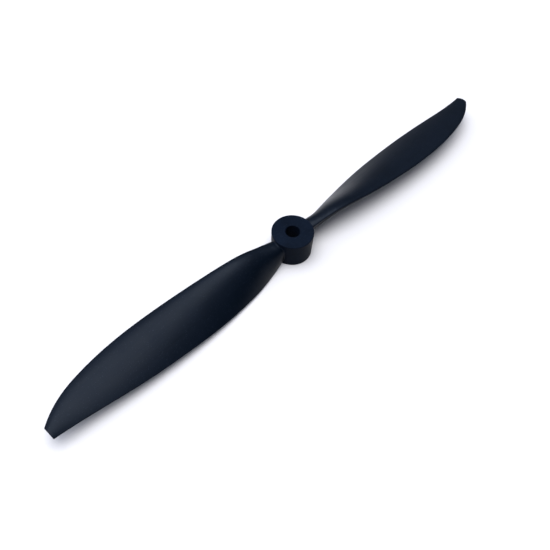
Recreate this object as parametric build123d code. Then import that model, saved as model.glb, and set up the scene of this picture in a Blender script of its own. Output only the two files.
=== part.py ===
from build123d import *
import math
import os

# Two-bladed fixed-pitch propeller for a radio-controlled model aeroplane, in millimetres.
#
# The real thing is one moulding in glass-filled nylon: a short round hub with a plain shaft bore,
# and two twisted, cambered blades with square-cut tips. It is divided into the hub and the two
# blades, which meet the hub face to face.
#
# The origin is the centre of the bore on the hub's rear face, +Z runs along the bore towards the
# front face, and the blades lie along +X and -X. Their cambered side faces forwards. Seen from the
# front the propeller turns clockwise, so blade_1, on +X, has its leading edge on the -Y side.

# Overall sizes
diameter = 254.0  # tip to tip
pitch = 152.4  # advance in one turn, where a station's pitch share is 1

# Hub
hub_height = 12.3
hub_diameter = 18.4  # at the front face
hub_draft = 1.6  # degrees, narrowing the hub towards its rear face
hub_edge_radius = 0.3
bore_diameter = 6.35
bore_chamfer = 0.15

# Blade sections
trailing_edge = 0.6  # thickness of the blunt trailing edge
camber_share = 0.35  # height of the camber line at mid-chord, as a share of the thickness
side_points = 13  # points along each side of a section

# Blade stations from root to tip. The columns are the share of the tip radius, the leading edge
# ahead of the blade's axis, the trailing edge behind it, the local pitch as a share of the pitch,
# the chord line's height over the hub's mid-height where it crosses the axis, and the thickness.
# The pitch is even over the main part of the blade and eases off at the root. The first station
# is inside the hub.
stations = [
    (0.04, 3.0, 1.7, 0.24, -0.8, 4.6),
    (0.07, 3.7, 2.7, 0.46, -0.8, 5.1),
    (0.12, 4.7, 3.9, 0.81, -0.8, 4.4),
    (0.18, 6.3, 5.6, 0.97, 0.0, 4.0),
    (0.28, 8.8, 7.2, 1.05, -0.1, 3.5),
    (0.40, 11.1, 8.0, 1.03, -0.3, 3.0),
    (0.55, 13.0, 7.5, 1.02, -0.2, 2.6),
    (0.70, 13.5, 6.0, 1.05, 0.1, 2.2),
    (0.82, 12.2, 4.0, 1.10, 0.5, 1.8),
    (0.92, 9.2, 2.3, 1.20, 0.9, 1.4),
    (1.00, 3.7, 1.5, 1.24, 1.8, 1.0),
]


def half_thickness(x):
    """Half of a section's thickness at x along the chord, where the largest is 0.5."""
    terms = 0.2969 * math.sqrt(x) - 0.1260 * x - 0.3516 * x**2 + 0.2843 * x**3 - 0.1036 * x**4
    return 5 * terms


def camber(x):
    """Height of the camber line at x along the chord, as a share of the thickness."""
    return 4 * camber_share * x * (1 - x)


def section_wire(share, lead, trail, pitch_share, rise, thickness):
    """One closed section of the blade, in a plane square to the blade's axis."""
    radius = share * diameter / 2
    slope = pitch * pitch_share / (2 * math.pi * radius)
    on_axis = Vector(radius, 0, hub_height / 2 + rise)
    chord = Vector(0, lead + trail, -(lead + trail) * slope)
    nose = on_axis - chord * (lead / (lead + trail))
    normal = Vector(0, -chord.Z, chord.Y).normalized()
    steps = [(1 - math.cos(math.pi * i / (side_points - 1))) / 2 for i in range(side_points)]
    upper = [
        nose + chord * x + normal * (thickness * (camber(x) + half_thickness(x)) + trailing_edge * x)
        for x in steps
    ]
    lower = [nose + chord * x + normal * thickness * (camber(x) - half_thickness(x)) for x in steps]
    around = Edge.make_spline(upper[:0:-1] + lower)
    return Wire([around, Edge.make_line(lower[-1], upper[-1])])


def make_hub_blank():
    """The hub before its bore is cut."""
    rear_radius = hub_diameter / 2 - hub_height * math.tan(math.radians(hub_draft))
    blank = Solid.make_cone(rear_radius, hub_diameter / 2, hub_height)
    return blank.fillet(hub_edge_radius, blank.edges().filter_by(GeomType.CIRCLE))


def make_bore():
    """The shaft hole, with a chamfer at each mouth."""
    radius = bore_diameter / 2
    front_mouth = Plane.XY.offset(hub_height - bore_chamfer)
    return Solid.make_cylinder(radius, hub_height).fuse(
        Solid.make_cone(radius + bore_chamfer, radius, bore_chamfer),
        Solid.make_cone(radius, radius + bore_chamfer, bore_chamfer, plane=front_mouth),
    )


def make_blade():
    """The blade on +X, cut back to the hub's surface."""
    whole_blade = Solid.make_loft([section_wire(*station) for station in stations])
    return whole_blade - make_hub_blank()


def main():
    os.makedirs("parts", exist_ok=True)
    export_step(make_hub_blank() - make_bore(), "parts/hub.step")
    blade = make_blade()
    for number, turn in ((1, 0), (2, 180)):
        export_step(blade.rotate(Axis.Z, turn), f"parts/blade_{number}.step")


main()
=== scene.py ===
import math

import bmesh
import bpy
import numpy as np
from mathutils import Matrix, Vector


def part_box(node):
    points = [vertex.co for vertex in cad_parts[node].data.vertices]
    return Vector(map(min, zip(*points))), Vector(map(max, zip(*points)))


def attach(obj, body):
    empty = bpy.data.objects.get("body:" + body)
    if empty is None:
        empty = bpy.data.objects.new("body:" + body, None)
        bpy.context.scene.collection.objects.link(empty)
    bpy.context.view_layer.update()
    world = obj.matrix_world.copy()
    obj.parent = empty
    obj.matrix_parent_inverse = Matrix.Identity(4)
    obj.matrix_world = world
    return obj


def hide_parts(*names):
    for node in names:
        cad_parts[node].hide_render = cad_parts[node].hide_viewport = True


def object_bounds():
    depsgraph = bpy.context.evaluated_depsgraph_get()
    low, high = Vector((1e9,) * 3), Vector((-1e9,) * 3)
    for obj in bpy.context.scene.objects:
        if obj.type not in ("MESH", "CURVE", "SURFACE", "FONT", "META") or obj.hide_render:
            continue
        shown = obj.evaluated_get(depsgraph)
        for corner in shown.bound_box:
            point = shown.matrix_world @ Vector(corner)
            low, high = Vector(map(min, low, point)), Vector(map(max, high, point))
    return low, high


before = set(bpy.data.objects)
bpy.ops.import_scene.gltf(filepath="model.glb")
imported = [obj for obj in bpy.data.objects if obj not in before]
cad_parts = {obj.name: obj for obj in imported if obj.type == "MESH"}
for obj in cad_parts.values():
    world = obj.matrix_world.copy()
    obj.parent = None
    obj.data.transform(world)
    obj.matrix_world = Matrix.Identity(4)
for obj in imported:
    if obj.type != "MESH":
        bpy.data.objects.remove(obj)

cadLow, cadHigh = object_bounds()
hubLow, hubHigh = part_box("hub")
mm = 0.001
calc = "ShaderNodeMath"
print("frame loaded: " + ", ".join(sorted(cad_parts)))


# an sRGB hex colour as Blender's linear one
def linearColour(code):
    parts = [int(code[i:i + 2], 16) / 255 for i in (1, 3, 5)]
    return tuple(p / 12.92 if p <= 0.04045 else ((p + 0.055) / 1.055) ** 2.4 for p in parts) + (1.0,)


# inputs go by position or by name, and each is a node, a socket or a plain value
def addNode(tree, kind, settings, inputs):
    node = tree.nodes.new(kind)
    for name, value in settings.items():
        setattr(node, name, value)
    for key, value in (inputs.items() if isinstance(inputs, dict) else enumerate(inputs)):
        if isinstance(value, bpy.types.Node):
            value = value.outputs[0]
        if isinstance(value, bpy.types.NodeSocket):
            tree.links.new(value, node.inputs[key])
        else:
            node.inputs[key].default_value = value
    return node


# a finished mesh takes a CAD node's place
def finishPiece(obj, node):
    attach(obj, "root")
    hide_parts(node)
    print(f"{obj.name}: {len(obj.data.polygons)} faces")


# glass-filled nylon, the same melt in every part; sizes in mm
nylon = {
    "ior": 1.5,
    "speck": "#39424f",  # ends of glass fibres at the skin
    "speckSize": 0.8, "speckReach": 0.13, "speckStrength": 0.25,
    "mottleSize": 9.0, "grainSize": 0.35, "unevenLow": 0.3, "unevenHigh": 0.7,
    "grainStrength": 0.35, "grainHeight": 0.02, "flowStrength": 0.5, "flowHeight": 0.03,
}
bladeSkin = {  # bluish black, a little uneven where the melt cooled
    **nylon, "dark": "#020509", "light": "#040a14",
    "specular": 0.085, "glossTint": "#d2e0f4", "roughLow": 0.28, "roughHigh": 0.40,
    "streakSize": (40.0, 1.4, 1.4),  # the melt ran outwards from the hub
}
hubSkin = {  # this part of the cavity is blasted coarser
    **nylon, "dark": "#010204", "light": "#0e1622",
    "specular": 0.025, "glossTint": "#bcd1f3", "roughLow": 0.40, "roughHigh": 0.50,
    "streakSize": (4.667, 4.667, 40.0),
}


# injection moulded against a fine-blasted steel cavity: satin, with faint flow streaks, a fine
# grain and a few pale specks of fibre
def makeNylon(name, skin):
    material = bpy.data.materials.new(name)
    material.use_nodes = True
    tree = material.node_tree
    tree.nodes.clear()
    place = addNode(tree, "ShaderNodeTexCoord", {}, ()).outputs["Object"]
    perMetre = 1 / mm
    stretch = tuple(perMetre / size for size in skin["streakSize"])
    drawn = addNode(tree, "ShaderNodeMapping", {}, {"Vector": place, "Scale": stretch})
    streak = addNode(tree, "ShaderNodeTexNoise", {}, {
        "Vector": drawn, "Scale": 1.0, "Detail": 3.0, "Roughness": 0.55})
    mottle = addNode(tree, "ShaderNodeTexNoise", {}, {
        "Vector": place, "Scale": perMetre / skin["mottleSize"], "Detail": 3.0})
    grain = addNode(tree, "ShaderNodeTexNoise", {}, {
        "Vector": place, "Scale": perMetre / skin["grainSize"], "Detail": 2.0})
    cells = addNode(tree, "ShaderNodeTexVoronoi", {}, {
        "Vector": place, "Scale": perMetre / skin["speckSize"]})
    few = addNode(tree, calc, {"operation": "LESS_THAN"}, (
        cells.outputs["Distance"], skin["speckReach"]))
    halfStreak = addNode(tree, calc, {"operation": "MULTIPLY"}, (streak, 0.5))
    uneven = addNode(tree, calc, {"operation": "MULTIPLY_ADD"}, (mottle, 0.5, halfStreak))
    # a Mix node's colours are its sockets 6 and 7
    body = addNode(tree, "ShaderNodeMix", {"data_type": "RGBA"}, {
        0: uneven, 6: linearColour(skin["dark"]), 7: linearColour(skin["light"])})
    faint = addNode(tree, calc, {"operation": "MULTIPLY"}, (few, skin["speckStrength"]))
    colour = addNode(tree, "ShaderNodeMix", {"data_type": "RGBA"}, {
        0: faint, 6: body.outputs[2], 7: linearColour(skin["speck"])})
    rough = addNode(tree, "ShaderNodeMapRange", {}, (
        uneven, skin["unevenLow"], skin["unevenHigh"], skin["roughLow"], skin["roughHigh"]))
    fine = addNode(tree, "ShaderNodeBump", {}, {
        "Strength": skin["grainStrength"], "Distance": skin["grainHeight"] * mm, "Height": grain})
    flow = addNode(tree, "ShaderNodeBump", {}, {
        "Strength": skin["flowStrength"], "Distance": skin["flowHeight"] * mm, "Height": streak,
        "Normal": fine})
    shader = addNode(tree, "ShaderNodeBsdfPrincipled", {}, {
        "Base Color": colour.outputs[2], "Roughness": rough, "IOR": skin["ior"],
        "Specular IOR Level": skin["specular"], "Specular Tint": linearColour(skin["glossTint"]),
        "Normal": flow,
    })
    addNode(tree, "ShaderNodeOutputMaterial", {}, {"Surface": shader})
    return material


nylonBlade = makeNylon("mouldedNylonBlade", bladeSkin)
nylonHub = makeNylon("mouldedNylonHub", hubSkin)
print("materials made")


hub = {
    "draft": 1.6,  # degrees
    "edgeRadius": 0.30, "boreRadius": 3.175, "boreChamfer": 0.15,  # mm
    "holdRing": 0.04,  # mm from an edge to the ring that keeps the flat beside it flat
    "chamferRing": 0.7,  # how deep in the chamfer its middle ring lies, as a share of it
    "edgeSteps": 6, "around": 192,
}


# the outline of half a cut through the hub, turned about Z
def buildHub(sizes):
    height = (hubHigh.z - hubLow.z) / mm
    lean = math.tan(math.radians(sizes["draft"]))
    edge, hold = sizes["edgeRadius"], sizes["holdRing"]
    bore, chamfer = sizes["boreRadius"], sizes["boreChamfer"]
    deep = sizes["chamferRing"] * chamfer
    frontRadius = hubHigh.x / mm + edge * lean
    rearRadius = frontRadius - height * lean
    quarter = [math.pi / 2 * i / sizes["edgeSteps"] for i in range(sizes["edgeSteps"] + 1)]
    profile = [(bore + chamfer, 0.0), (bore + chamfer + hold, 0.0), (rearRadius - edge - hold, 0.0)]
    profile += [(rearRadius - edge + edge * math.sin(a), edge - edge * math.cos(a)) for a in quarter]
    profile += [(rearRadius + hold * lean, edge + hold)]
    profile += [(frontRadius - hold * lean, height - edge - hold)]
    profile += [(frontRadius - edge + edge * math.cos(a), height - edge + edge * math.sin(a))
                for a in quarter]
    profile += [(frontRadius - edge - hold, height), (bore + chamfer + hold, height)]
    profile += [(bore + chamfer, height), (bore + chamfer - deep, height - deep)]
    profile += [(bore, height - chamfer), (bore, height - chamfer - hold), (bore, chamfer + hold)]
    profile += [(bore, chamfer), (bore + chamfer - deep, deep)]
    mesh = bpy.data.meshes.new("hub_moulding")
    shape = bmesh.new()
    rings = []
    for radius, up in profile:
        ring = []
        for step in range(sizes["around"]):
            turn = 2 * math.pi * step / sizes["around"]
            spot = (radius * math.cos(turn) * mm, radius * math.sin(turn) * mm, hubLow.z + up * mm)
            ring.append(shape.verts.new(spot))
        rings.append(ring)
    for i, ring in enumerate(rings):
        after = rings[(i + 1) % len(rings)]
        for step in range(sizes["around"]):
            beside = (step + 1) % sizes["around"]
            face = shape.faces.new((ring[step], ring[beside], after[beside], after[step]))
            face.smooth = True
    bmesh.ops.recalc_face_normals(shape, faces=shape.faces)
    shape.to_mesh(mesh)
    shape.free()
    mesh.materials.append(nylonHub)
    obj = bpy.data.objects.new("hub_moulding", mesh)
    bpy.context.scene.collection.objects.link(obj)
    return obj


finishPiece(buildHub(hub), "hub")


blade = {
    "pitch": 152.4, "trailingEdge": 0.6,  # mm
    "camberShare": 0.35,  # of the thickness
    "noseCut": 1.1, "noseFade": 14.0,  # slope of the flat under the nose, and what outboard adds to it
    "rootFillet": 0.7, "tipEdge": 0.22, "edgeRound": 0.22,  # mm
    "tuck": 0.25, "clearOfTable": 0.03,  # mm into the hub's side, and least height over the table
    "rootProbe": 0.94, "rootClose": 0.85,  # shares of the hub's radius: to find its side, to close at
    "spanRows": 230, "tipRows": 5, "aroundPoints": 97, "rowEase": 1.8,
}
# share of the tip radius, then in mm how far the leading edge is ahead of the axis and the trailing
# edge behind it, share of the pitch, and in mm the rise over the hub's mid-height and the thickness
stations = [
    (0.04, 3.0, 1.7, 0.24, -0.8, 4.6),
    (0.07, 3.7, 2.7, 0.46, -0.8, 5.1),
    (0.12, 4.7, 3.9, 0.81, -0.8, 4.4),
    (0.18, 6.3, 5.6, 0.97, 0.0, 4.0),
    (0.28, 8.8, 7.2, 1.05, -0.1, 3.5),
    (0.40, 11.1, 8.0, 1.03, -0.3, 3.0),
    (0.55, 13.0, 7.5, 1.02, -0.2, 2.6),
    (0.70, 13.5, 6.0, 1.05, 0.1, 2.2),
    (0.82, 12.2, 4.0, 1.10, 0.5, 1.8),
    (0.92, 9.2, 2.3, 1.20, 0.9, 1.4),
    (1.00, 3.7, 1.5, 1.24, 1.8, 1.0),
]
# each column's name, the range its curve is drawn over, and its unit
columns = [("lead", 0.0, 16.0, mm), ("trail", 0.0, 16.0, mm), ("pitchShare", 0.0, 1.6, 1.0),
           ("rise", -2.0, 3.0, mm), ("thickness", 0.0, 6.0, mm)]
curvePoints = 33  # on each column's curve
weldGap = 0.001  # mm, for the points that meet along the seams and at the ends
# the usual four-digit section: what its half thickness takes of the root and the first four powers
# of the place along the chord, for a section a fifth as thick as it is long
rootTerm, powerTerms, termsFor = 0.2969, (-0.1260, -0.3516, 0.2843, -0.1036), 0.2
sectionInputs = ("Tip Radius", "Pitch", "Mid Height", "Trailing Edge", "Camber Share", "Edge Round",
                 "Nose Cut", "Nose Fade")


# a smooth cubic spline through one column of the stations, read at even steps
def smoothColumn(column, steps):
    at = np.array([s[0] for s in stations])
    value = np.array([s[column + 1] for s in stations])
    gap, count = np.diff(at), len(at)
    matrix, bend = np.eye(count), np.zeros(count)
    for i in range(1, count - 1):
        matrix[i, i - 1:i + 2] = gap[i - 1], 2 * (gap[i - 1] + gap[i]), gap[i]
        bend[i] = 6 * ((value[i + 1] - value[i]) / gap[i] - (value[i] - value[i - 1]) / gap[i - 1])
    # the first two spans share one cubic, and so do the last two
    matrix[0, :3] = gap[1], -gap[0] - gap[1], gap[0]
    matrix[-1, -3:] = gap[-1], -gap[-2] - gap[-1], gap[-2]
    bend = np.linalg.solve(matrix, bend)
    found = []
    for share in np.linspace(at[0], at[-1], steps):
        i = min(int(np.searchsorted(at, share, "right")) - 1, count - 2)
        a, b, h = at[i + 1] - share, share - at[i], gap[i]
        curved = (bend[i] * a ** 3 + bend[i + 1] * b ** 3) / (6 * h)
        straight = (value[i] / h - bend[i] * h / 6) * a + (value[i + 1] / h - bend[i + 1] * h / 6) * b
        found.append((share, curved + straight))
    return found


# one point of a blade's section, from its radius and its angle round the section: 0 at the trailing
# edge, over the cambered side to the leading edge at pi, and back under to 2 pi
def sectionGroup():
    tree = bpy.data.node_groups.new("bladeSection", "GeometryNodeTree")
    for name in ("Radius", "Around", "Keep", "Inset") + sectionInputs:
        tree.interface.new_socket(name, in_out="INPUT", socket_type="NodeSocketFloat")
    tree.interface.new_socket("Position", in_out="OUTPUT", socket_type="NodeSocketVector")
    given = addNode(tree, "NodeGroupInput", {}, ()).outputs
    share = addNode(tree, calc, {"operation": "DIVIDE"}, (given["Radius"], given["Tip Radius"]))
    read = {}
    for column, (name, low, high, unit) in enumerate(columns):
        curve = addNode(tree, "ShaderNodeFloatCurve", {"label": name}, {"Value": share})
        points = curve.mapping.curves[0].points
        drawn = [(x, (y - low) / (high - low)) for x, y in smoothColumn(column, curvePoints)]
        points[0].location, points[1].location = drawn[0], drawn[-1]
        for spot in drawn[1:-1]:
            points.new(*spot)
        curve.mapping.use_clip = False
        curve.mapping.update()
        read[name] = addNode(tree, calc, {"operation": "MULTIPLY_ADD"},
                             (curve, (high - low) * unit, low * unit))
    lead, trail, thickness = read["lead"], read["trail"], read["thickness"]
    # the helix: how far the section climbs for each unit it goes round
    climb = addNode(tree, calc, {"operation": "MULTIPLY"}, (read["pitchShare"], given["Pitch"]))
    ring = addNode(tree, calc, {"operation": "MULTIPLY"}, (given["Radius"], 2 * math.pi))
    slope = addNode(tree, calc, {"operation": "DIVIDE"}, (climb, ring))
    slopeSquare = addNode(tree, calc, {"operation": "MULTIPLY_ADD"}, (slope, slope, 1.0))
    slant = addNode(tree, calc, {"operation": "SQRT"}, (slopeSquare,))
    wide = addNode(tree, calc, {"operation": "ADD"}, (lead, trail))
    chord = addNode(tree, calc, {"operation": "MULTIPLY"}, (wide, slant))
    # place along the chord, closer together at both edges
    cosine = addNode(tree, calc, {"operation": "COSINE"}, (given["Around"],))
    x = addNode(tree, calc, {"operation": "MULTIPLY_ADD"}, (cosine, 0.5, 0.5))
    # half of the thickness there, as a share of the full thickness
    powers = powerTerms[-1]
    for term in (*reversed(powerTerms[:-1]), 0.0):
        powers = addNode(tree, calc, {"operation": "MULTIPLY_ADD"}, (powers, x, term))
    rootX = addNode(tree, calc, {"operation": "SQRT"}, (x,))
    summed = addNode(tree, calc, {"operation": "MULTIPLY_ADD"}, (rootX, rootTerm, powers))
    halfShare = addNode(tree, calc, {"operation": "MULTIPLY"}, (summed, 1 / termsFor))
    # the trailing edge is blunt with its two corners rounded off
    blunt = addNode(tree, calc, {"operation": "MULTIPLY"}, (given["Trailing Edge"], 0.5))
    bluntHere = addNode(tree, calc, {"operation": "MULTIPLY"}, (blunt, x))
    roundShare = addNode(tree, calc, {"operation": "DIVIDE"}, (given["Edge Round"], chord))
    fromEdge = addNode(tree, calc, {"operation": "SUBTRACT"}, (1.0, x))
    inward = addNode(tree, calc, {"operation": "DIVIDE", "use_clamp": True}, (fromEdge, roundShare))
    outward = addNode(tree, calc, {"operation": "SUBTRACT"}, (1.0, inward))
    cubed = addNode(tree, calc, {"operation": "POWER"}, (outward, 3.0))
    left = addNode(tree, calc, {"operation": "SUBTRACT", "use_clamp": True}, (1.0, cubed))
    corner = addNode(tree, calc, {"operation": "POWER"}, (left, 1 / 3))
    halfPlain = addNode(tree, calc, {"operation": "MULTIPLY_ADD"}, (halfShare, thickness, bluntHere))
    # under the nose the section is cut flat, steeper outboard, so the nose has a crease near the hub
    shareSquare = addNode(tree, calc, {"operation": "MULTIPLY"}, (share, share))
    steep = addNode(tree, calc, {"operation": "MULTIPLY_ADD"},
                    (shareSquare, given["Nose Fade"], given["Nose Cut"]))
    alongChord = addNode(tree, calc, {"operation": "MULTIPLY"}, (x, chord))
    cut = addNode(tree, calc, {"operation": "MULTIPLY"}, (alongChord, steep))
    # a metre more on the upper side leaves that side uncut
    isUpper = addNode(tree, calc, {"operation": "LESS_THAN"}, (given["Around"], math.pi))
    cutUnder = addNode(tree, calc, {"operation": "ADD"}, (cut, isUpper))
    halfCut = addNode(tree, calc, {"operation": "MINIMUM"}, (halfPlain, cutUnder))
    halfRound = addNode(tree, calc, {"operation": "MULTIPLY"}, (halfCut, corner))
    # inset draws the whole outline in, for the tip's rounded edge, or out, for the root fillet
    thinner = addNode(tree, calc, {"operation": "DIVIDE"}, (given["Inset"], thickness))
    thinKeep = addNode(tree, calc, {"operation": "MULTIPLY_ADD"}, (thinner, -2.0, 1.0))
    halfInset = addNode(tree, calc, {"operation": "MULTIPLY"}, (halfRound, thinKeep))
    half = addNode(tree, calc, {"operation": "MULTIPLY"}, (halfInset, given["Keep"]))
    narrower = addNode(tree, calc, {"operation": "DIVIDE"}, (given["Inset"], chord))
    narrowKeep = addNode(tree, calc, {"operation": "MULTIPLY_ADD"}, (narrower, -2.0, 1.0))
    fromMid = addNode(tree, calc, {"operation": "SUBTRACT"}, (x, 0.5))
    along = addNode(tree, calc, {"operation": "MULTIPLY_ADD"}, (fromMid, narrowKeep, 0.5))
    # the camber line
    arch = addNode(tree, calc, {"operation": "MULTIPLY"}, (x, fromEdge))
    archHigh = addNode(tree, calc, {"operation": "MULTIPLY"}, (arch, 4.0))
    camber = addNode(tree, calc, {"operation": "MULTIPLY"}, (archHigh, given["Camber Share"]))
    middle = addNode(tree, calc, {"operation": "MULTIPLY_ADD"}, (camber, thickness, bluntHere))
    pastNose = addNode(tree, calc, {"operation": "SUBTRACT"}, (math.pi, given["Around"]))
    side = addNode(tree, calc, {"operation": "SIGN"}, (pastNose,))
    off = addNode(tree, calc, {"operation": "MULTIPLY_ADD"}, (side, half, middle))
    offUp = addNode(tree, calc, {"operation": "DIVIDE"}, (off, slant))
    behind = addNode(tree, calc, {"operation": "MULTIPLY"}, (wide, along))
    ahead = addNode(tree, calc, {"operation": "SUBTRACT"}, (behind, lead))
    y = addNode(tree, calc, {"operation": "MULTIPLY_ADD"}, (offUp, slope, ahead))
    onAxis = addNode(tree, calc, {"operation": "ADD"}, (given["Mid Height"], read["rise"]))
    drop = addNode(tree, calc, {"operation": "MULTIPLY"}, (ahead, slope))
    onChord = addNode(tree, calc, {"operation": "SUBTRACT"}, (onAxis, drop))
    z = addNode(tree, calc, {"operation": "ADD"}, (onChord, offUp))
    spot = addNode(tree, "ShaderNodeCombineXYZ", {}, (given["Radius"], y, z))
    addNode(tree, "NodeGroupOutput", {}, (spot,))
    return tree


# rows run from a closed end just inside the hub, out along the blade and round the tip's edge
def bladeTree(section):
    tree = bpy.data.node_groups.new("propellerBlade", "GeometryNodeTree")
    tree.interface.new_socket("Geometry", in_out="INPUT", socket_type="NodeSocketGeometry")
    for name in sectionInputs + ("Hub Radius", "Hub Draft", "Root Fillet", "Tuck", "Tip Edge",
                                 "Clear Of Table", "Turn"):
        tree.interface.new_socket(name, in_out="INPUT", socket_type="NodeSocketFloat")
    for name in ("Span Rows", "Tip Rows", "Around Points"):
        tree.interface.new_socket(name, in_out="INPUT", socket_type="NodeSocketInt")
    tree.interface.new_socket("Material", in_out="INPUT", socket_type="NodeSocketMaterial")
    tree.interface.new_socket("Geometry", in_out="OUTPUT", socket_type="NodeSocketGeometry")
    given = addNode(tree, "NodeGroupInput", {}, ()).outputs
    # a flat grid whose x and y count the rows and the points round a section
    rounded = addNode(tree, calc, {"operation": "ADD"}, (given["Span Rows"], given["Tip Rows"]))
    rows = addNode(tree, calc, {"operation": "ADD"}, (rounded, 3.0))  # the first, and both shut ends
    lastRow = addNode(tree, calc, {"operation": "SUBTRACT"}, (rows, 1.0))
    lastPoint = addNode(tree, calc, {"operation": "SUBTRACT"}, (given["Around Points"], 1.0))
    grid = addNode(tree, "GeometryNodeMeshGrid", {}, (lastRow, lastPoint, rows, given["Around Points"]))
    gridSpot = addNode(tree, "GeometryNodeInputPosition", {}, ())
    flat = addNode(tree, "ShaderNodeSeparateXYZ", {}, (gridSpot,))
    row = addNode(tree, calc, {"operation": "MULTIPLY_ADD"}, (lastRow, 0.5, flat.outputs["X"]))
    point = addNode(tree, calc, {"operation": "MULTIPLY_ADD"}, (lastPoint, 0.5, flat.outputs["Y"]))
    turnShare = addNode(tree, calc, {"operation": "DIVIDE"}, (point, lastPoint))
    around = addNode(tree, calc, {"operation": "MULTIPLY"}, (turnShare, 2 * math.pi))
    passed = {name: given[name] for name in sectionInputs}
    # where this line of points leaves the hub, a little inside its drafted side
    flareOut = addNode(tree, calc, {"operation": "MULTIPLY"}, (given["Root Fillet"], -1.0))
    nearHub = addNode(tree, calc, {"operation": "MULTIPLY"}, (given["Hub Radius"], blade["rootProbe"]))
    rootSpot = addNode(tree, "GeometryNodeGroup", {"node_tree": section},
                       {"Radius": nearHub, "Around": around, "Keep": 1.0, "Inset": flareOut, **passed})
    rootParts = addNode(tree, "ShaderNodeSeparateXYZ", {}, (rootSpot,))
    hubTop = addNode(tree, calc, {"operation": "MULTIPLY"}, (given["Mid Height"], 2.0))
    below = addNode(tree, calc, {"operation": "SUBTRACT"}, (hubTop, rootParts.outputs["Z"]))
    lean = addNode(tree, calc, {"operation": "TANGENT"}, (given["Hub Draft"],))
    leanIn = addNode(tree, calc, {"operation": "MULTIPLY_ADD"}, (below, lean, given["Tuck"]))
    hubHere = addNode(tree, calc, {"operation": "SUBTRACT"}, (given["Hub Radius"], leanIn))
    hubSquare = addNode(tree, calc, {"operation": "MULTIPLY"}, (hubHere, hubHere))
    rootY = rootParts.outputs["Y"]
    ySquare = addNode(tree, calc, {"operation": "MULTIPLY"}, (rootY, rootY))
    xSquare = addNode(tree, calc, {"operation": "SUBTRACT"}, (hubSquare, ySquare))
    start = addNode(tree, calc, {"operation": "SQRT"}, (xSquare,))
    # rows lie closer together towards the hub, where the fillet is
    rowIn = addNode(tree, calc, {"operation": "SUBTRACT"}, (row, 1.0))
    spanShare = addNode(tree, calc, {"operation": "DIVIDE", "use_clamp": True},
                        (rowIn, given["Span Rows"]))
    spanEased = addNode(tree, calc, {"operation": "POWER"}, (spanShare, blade["rowEase"]))
    rowOut = addNode(tree, calc, {"operation": "SUBTRACT"}, (rowIn, given["Span Rows"]))
    tipShare = addNode(tree, calc, {"operation": "DIVIDE", "use_clamp": True},
                       (rowOut, given["Tip Rows"]))
    tipAngle = addNode(tree, calc, {"operation": "MULTIPLY"}, (tipShare, math.pi / 2))
    tipSine = addNode(tree, calc, {"operation": "SINE"}, (tipAngle,))
    tipCosine = addNode(tree, calc, {"operation": "COSINE"}, (tipAngle,))
    tipStart = addNode(tree, calc, {"operation": "SUBTRACT"}, (given["Tip Radius"], given["Tip Edge"]))
    span = addNode(tree, calc, {"operation": "SUBTRACT"}, (tipStart, start))
    reach = addNode(tree, calc, {"operation": "MULTIPLY_ADD"}, (span, spanEased, start))
    radius = addNode(tree, calc, {"operation": "MULTIPLY_ADD"}, (tipSine, given["Tip Edge"], reach))
    # the fillet's flare, a quarter circle against the hub
    past = addNode(tree, calc, {"operation": "SUBTRACT"}, (radius, start))
    clear = addNode(tree, calc, {"operation": "SUBTRACT"}, (past, given["Tuck"]))
    clearShare = addNode(tree, calc, {"operation": "DIVIDE", "use_clamp": True},
                         (clear, given["Root Fillet"]))
    toFoot = addNode(tree, calc, {"operation": "SUBTRACT"}, (1.0, clearShare))
    footSquare = addNode(tree, calc, {"operation": "MULTIPLY"}, (toFoot, toFoot))
    footLeft = addNode(tree, calc, {"operation": "SUBTRACT", "use_clamp": True}, (1.0, footSquare))
    footRise = addNode(tree, calc, {"operation": "SQRT"}, (footLeft,))
    footDrop = addNode(tree, calc, {"operation": "SUBTRACT"}, (1.0, footRise))
    flare = addNode(tree, calc, {"operation": "MULTIPLY"}, (footDrop, given["Root Fillet"]))
    tipIn = addNode(tree, calc, {"operation": "SUBTRACT"}, (1.0, tipCosine))
    inset = addNode(tree, calc, {"operation": "MULTIPLY"}, (tipIn, given["Tip Edge"]))
    insetAll = addNode(tree, calc, {"operation": "SUBTRACT"}, (inset, flare))
    # both end rows shut on the section's middle line
    notRoot = addNode(tree, calc, {"operation": "GREATER_THAN"}, (row, 0.5))
    lastOpen = addNode(tree, calc, {"operation": "SUBTRACT"}, (lastRow, 0.5))
    notTip = addNode(tree, calc, {"operation": "LESS_THAN"}, (row, lastOpen))
    keep = addNode(tree, calc, {"operation": "MULTIPLY"}, (notRoot, notTip))
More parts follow.
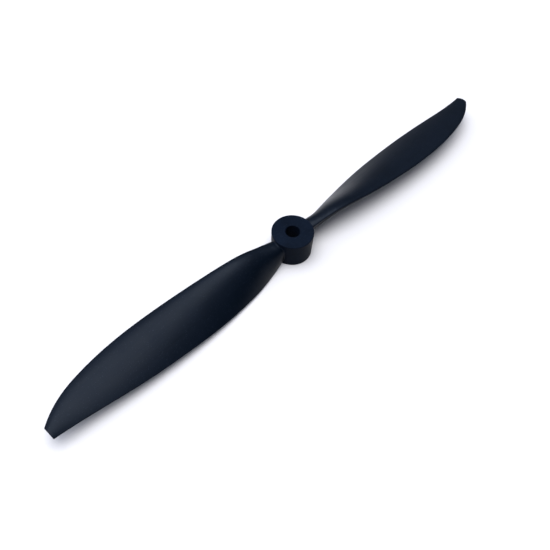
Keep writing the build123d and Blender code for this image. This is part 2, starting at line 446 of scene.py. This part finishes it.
    # the root's end row is flat, at one radius inside the hub, so its two sides meet
    closeAt = addNode(tree, calc, {"operation": "MULTIPLY"}, (given["Hub Radius"], blade["rootClose"]))
    pastClose = addNode(tree, calc, {"operation": "SUBTRACT"}, (radius, closeAt))
    radiusAll = addNode(tree, calc, {"operation": "MULTIPLY_ADD"}, (pastClose, notRoot, closeAt))
    spot = addNode(tree, "GeometryNodeGroup", {"node_tree": section},
                   {"Radius": radiusAll, "Around": around, "Keep": keep, "Inset": insetAll, **passed})
    parts = addNode(tree, "ShaderNodeSeparateXYZ", {}, (spot,))
    x, y, z = parts.outputs
    lifted = addNode(tree, calc, {"operation": "MAXIMUM"}, (z, given["Clear Of Table"]))
    final = addNode(tree, "ShaderNodeCombineXYZ", {}, (x, y, lifted))
    shaped = addNode(tree, "GeometryNodeSetPosition", {}, {"Geometry": grid, "Position": final})
    closed = addNode(tree, "GeometryNodeMergeByDistance", {}, {
        "Geometry": shaped, "Distance": weldGap * mm})
    outward = addNode(tree, "GeometryNodeFlipFaces", {}, {"Mesh": closed})
    smooth = addNode(tree, "GeometryNodeSetShadeSmooth", {}, {"Geometry": outward})
    about = addNode(tree, "ShaderNodeCombineXYZ", {}, (0.0, 0.0, given["Turn"]))
    turned = addNode(tree, "GeometryNodeTransform", {}, {"Geometry": smooth, "Rotation": about})
    real = addNode(tree, "GeometryNodeRealizeInstances", {}, (turned,))
    painted = addNode(tree, "GeometryNodeSetMaterial", {}, {
        "Geometry": real, "Material": given["Material"]})
    addNode(tree, "NodeGroupOutput", {}, (painted,))
    return tree


# the tree's result as a plain mesh, so no modifier is left on the piece
def buildBlade(name, tree, sizes, turn, material):
    values = {
        "Tip Radius": cadHigh.x, "Mid Height": (hubLow.z + hubHigh.z) / 2, "Hub Radius": hubHigh.x,
        "Hub Draft": math.radians(hub["draft"]), "Turn": math.radians(turn),
        "Camber Share": sizes["camberShare"], "Nose Cut": sizes["noseCut"],
        "Nose Fade": sizes["noseFade"], "Pitch": sizes["pitch"] * mm,
        "Trailing Edge": sizes["trailingEdge"] * mm, "Edge Round": sizes["edgeRound"] * mm,
        "Root Fillet": sizes["rootFillet"] * mm, "Tuck": sizes["tuck"] * mm,
        "Tip Edge": sizes["tipEdge"] * mm, "Clear Of Table": sizes["clearOfTable"] * mm,
        "Span Rows": sizes["spanRows"], "Tip Rows": sizes["tipRows"],
        "Around Points": sizes["aroundPoints"], "Material": material,
    }
    maker = bpy.data.objects.new(name + "_maker", bpy.data.meshes.new(name + "_blank"))
    bpy.context.scene.collection.objects.link(maker)
    modifier = maker.modifiers.new("blade", "NODES")
    modifier.node_group = tree
    for item in tree.interface.items_tree:
        if item.in_out == "INPUT" and item.name in values:
            modifier[item.identifier] = values[item.name]
    ready = maker.evaluated_get(bpy.context.evaluated_depsgraph_get())
    mesh = bpy.data.meshes.new_from_object(ready)
    mesh.name = name
    bpy.data.objects.remove(maker)
    obj = bpy.data.objects.new(name, mesh)
    bpy.context.scene.collection.objects.link(obj)
    return obj


shapeTree = bladeTree(sectionGroup())
for number, turn in ((1, 0), (2, 180)):
    piece = buildBlade(f"blade_{number}_moulding", shapeTree, blade, turn, nylonBlade)
    finishPiece(piece, f"blade_{number}")


# mm, then the paper: a mid grey that the strong light shows as white
table = {"size": 6000.0, "below": 0.02, "colour": "#b8b6b4", "roughness": 0.75, "specular": 0.1}


def buildTable(sizes):
    half = sizes["size"] / 2 * mm
    mesh = bpy.data.meshes.new("table_top")
    down = -sizes["below"] * mm
    corners = [(-half, -half, down), (half, -half, down), (half, half, down), (-half, half, down)]
    mesh.from_pydata(corners, [], [(0, 1, 2, 3)])
    material = bpy.data.materials.new("greyPaper")  # smooth matt card: plain, with almost no gloss
    material.use_nodes = True
    shader = material.node_tree.nodes["Principled BSDF"]
    shader.inputs["Base Color"].default_value = linearColour(sizes["colour"])
    shader.inputs["Roughness"].default_value = sizes["roughness"]
    shader.inputs["Specular IOR Level"].default_value = sizes["specular"]
    mesh.materials.append(material)
    obj = bpy.data.objects.new("table_top", mesh)
    bpy.context.scene.collection.objects.link(obj)


buildTable(table)

# a light tent with two soft glows, one overhead and one high on the +X -Y side, that fade to nearly
# nothing low down, and one large round softbox shining straight down through its crown
light = {
    "glows": [
        {"azimuth": 158.0, "elevation": 81.0, "focus": 5.2, "strength": 1.8},
        {"azimuth": 312.0, "elevation": 54.0, "focus": 3.8, "strength": 3.8},
    ],
    "lowest": 0.02, "tentColour": "#e1e8fb",
    "softboxAt": (0.1, 0.0, 1.2), "softboxWidth": 1.1,  # metres
    "softboxWatts": 17.2, "softboxColour": "#fbfaf9",
}


def buildSoftbox(sizes):
    data = bpy.data.lights.new("softbox", "AREA")
    data.shape = "DISK"
    data.size = sizes["softboxWidth"]
    data.energy = sizes["softboxWatts"]
    data.color = linearColour(sizes["softboxColour"])[:3]
    obj = bpy.data.objects.new("softbox", data)  # an area light shines down its own -Z
    obj.location = sizes["softboxAt"]
    bpy.context.scene.collection.objects.link(obj)


# each glow is exp(focus * (cosine to its middle - 1)) times its strength
def buildTent(sizes):
    world = bpy.data.worlds.new("lightTent")
    world.use_nodes = True
    tree = world.node_tree
    tree.nodes.clear()
    toward = addNode(tree, "ShaderNodeTexCoord", {}, ()).outputs["Generated"]
    level = sizes["lowest"]
    for glow in sizes["glows"]:
        turn, tilt = math.radians(glow["azimuth"]), math.radians(glow["elevation"])
        focus = glow["focus"]
        middle = (math.cos(turn) * math.cos(tilt), math.sin(turn) * math.cos(tilt), math.sin(tilt))
        facing = addNode(tree, "ShaderNodeVectorMath", {"operation": "DOT_PRODUCT"}, (toward, middle))
        fall = addNode(tree, calc, {"operation": "MULTIPLY_ADD"},
                       (facing.outputs["Value"], focus, -focus))
        bright = addNode(tree, calc, {"operation": "EXPONENT"}, (fall,))
        level = addNode(tree, calc, {"operation": "MULTIPLY_ADD"}, (bright, glow["strength"], level))
    cloth = addNode(tree, "ShaderNodeBackground", {}, {
        "Color": linearColour(sizes["tentColour"]), "Strength": level})
    addNode(tree, "ShaderNodeOutputWorld", {}, {"Surface": cloth})
    bpy.context.scene.world = world


buildSoftbox(light)
buildTent(light)

# the camera stands off the hub's foot, slid a little along its own right and up
viewpoint = {
    "azimuth": 129.931, "elevation": 54.165, "roll": 3.901,  # degrees; the azimuth is from -Y
    "distance": 322.2, "right": -7.12, "up": -11.47, "lens": 47.88, "sensor": 36.0,  # mm
    "clipNear": 10.0, "clipFar": 20000.0,  # mm
}


def buildCamera(sizes):
    turn, tilt, roll = (math.radians(sizes[k]) for k in ("azimuth", "elevation", "roll"))
    back = Vector((math.sin(turn) * math.cos(tilt), -math.cos(turn) * math.cos(tilt), math.sin(tilt)))
    level = Vector((math.cos(turn), math.sin(turn), 0.0))
    upright = back.cross(level)
    right = level * math.cos(roll) + upright * math.sin(roll)
    up = upright * math.cos(roll) - level * math.sin(roll)
    data = bpy.data.cameras.new("camera")
    data.lens = sizes["lens"]
    data.sensor_width = sizes["sensor"]
    data.clip_start, data.clip_end = sizes["clipNear"] * mm, sizes["clipFar"] * mm
    obj = bpy.data.objects.new("camera", data)
    place = (right * sizes["right"] + up * sizes["up"] + back * sizes["distance"]) * mm
    obj.matrix_world = Matrix.Translation(place) @ Matrix((right, up, back)).transposed().to_4x4()
    bpy.context.scene.collection.objects.link(obj)
    bpy.context.scene.camera = obj


buildCamera(viewpoint)
bpy.context.scene.view_settings.view_transform = "Standard"
print("table, lights and camera placed")
